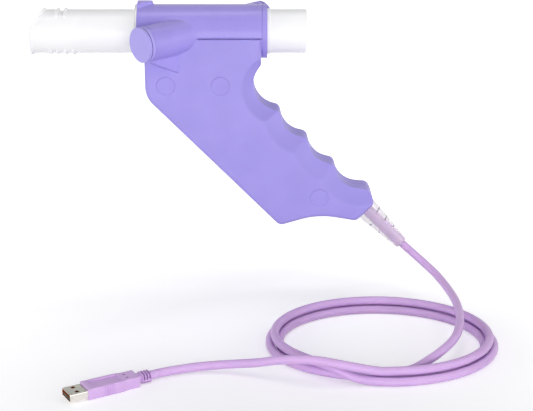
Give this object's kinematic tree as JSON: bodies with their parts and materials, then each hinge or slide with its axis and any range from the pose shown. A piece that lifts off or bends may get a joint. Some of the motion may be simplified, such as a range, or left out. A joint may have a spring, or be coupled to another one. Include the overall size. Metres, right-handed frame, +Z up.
{
  "type": "spirometer",
  "caption": "Hand-held ultrasonic spirometer: a disposable breathing tube slides through a sensor barrel on a pistol grip, with a coiled cord and a plug.",
  "frame": {"origin": "middle of the grip, where the palm closes round it, 62 mm below and 20 mm ahead (+X) of the middle of the sensor barrel", "axes": "+X the way the breath leaves the tube, -Y the front shell, +Z up"},
  "size_m": [0.2953, 0.21, 0.2017],
  "materials": {
    "handle_plastic": "fine satin moulding",
    "barrel_plastic": "satin moulding",
    "tube_plastic": "smooth moulded polypropylene",
    "mesh_nylon": "fine woven nylon",
    "transducer_shell": "turned",
    "isolation_rubber": "soft matte",
    "lead_jacket": "thin screened lead",
    "board_laminate": "solder mask",
    "chip_epoxy": "moulded epoxy",
    "can_steel": "plated",
    "header_nylon": "moulded nylon",
    "screw_steel": "zinc plated",
    "plug_disc_plastic": "satin moulding",
    "relief_vinyl": "clear flexible vinyl",
    "cord_jacket": "smooth satin jacket",
    "connector_nylon": "moulded nylon",
    "usb_body_plastic": "satin overmoulding",
    "usb_shell_steel": "nickel plated sheet",
    "usb_tongue_plastic": "moulded",
    "contact_gold": "gold plated"
  },
  "bodies": {
    "handset": {"handle_front_shell": "handle_plastic", "handle_back_shell": "handle_plastic", "sensor_barrel": "barrel_plastic", "barrel_end_ring": "barrel_plastic", "front_transducer_cap": "barrel_plastic", "rear_transducer_cap": "barrel_plastic", "front_transducer": "transducer_shell", "rear_transducer": "transducer_shell", "front_transducer_ring": "isolation_rubber", "rear_transducer_ring": "isolation_rubber", "front_transducer_lead": "lead_jacket", "rear_transducer_lead": "lead_jacket", "circuit_board": "board_laminate", "processor_chip": "chip_epoxy", "pulse_driver_chip": "chip_epoxy", "usb_interface_chip": "chip_epoxy", "crystal_can": "can_steel", "transducer_headers": "header_nylon", "cable_header": "header_nylon", "board_screws": "screw_steel", "shell_screws": "screw_steel", "screw_plugs": "plug_disc_plastic", "strain_relief": "relief_vinyl", "cable_tail": "cord_jacket", "cable_connector": "connector_nylon", "cord_drop": "cord_jacket", "cord_coil": "cord_jacket", "cord_lead": "cord_jacket", "plug_body": "usb_body_plastic", "plug_shell": "usb_shell_steel", "plug_tongue": "usb_tongue_plastic", "plug_contacts": "contact_gold"},
    "breathing_tube": {"breathing_tube": "tube_plastic", "front_window_mesh": "mesh_nylon", "rear_window_mesh": "mesh_nylon"}
  },
  "joints": [
    {"name": "breathing_tube_slide", "type": "slide", "parent": "handset", "child": "breathing_tube", "axis": [-1, 0, 0], "range_m": [0, 0.115]}
  ]
}
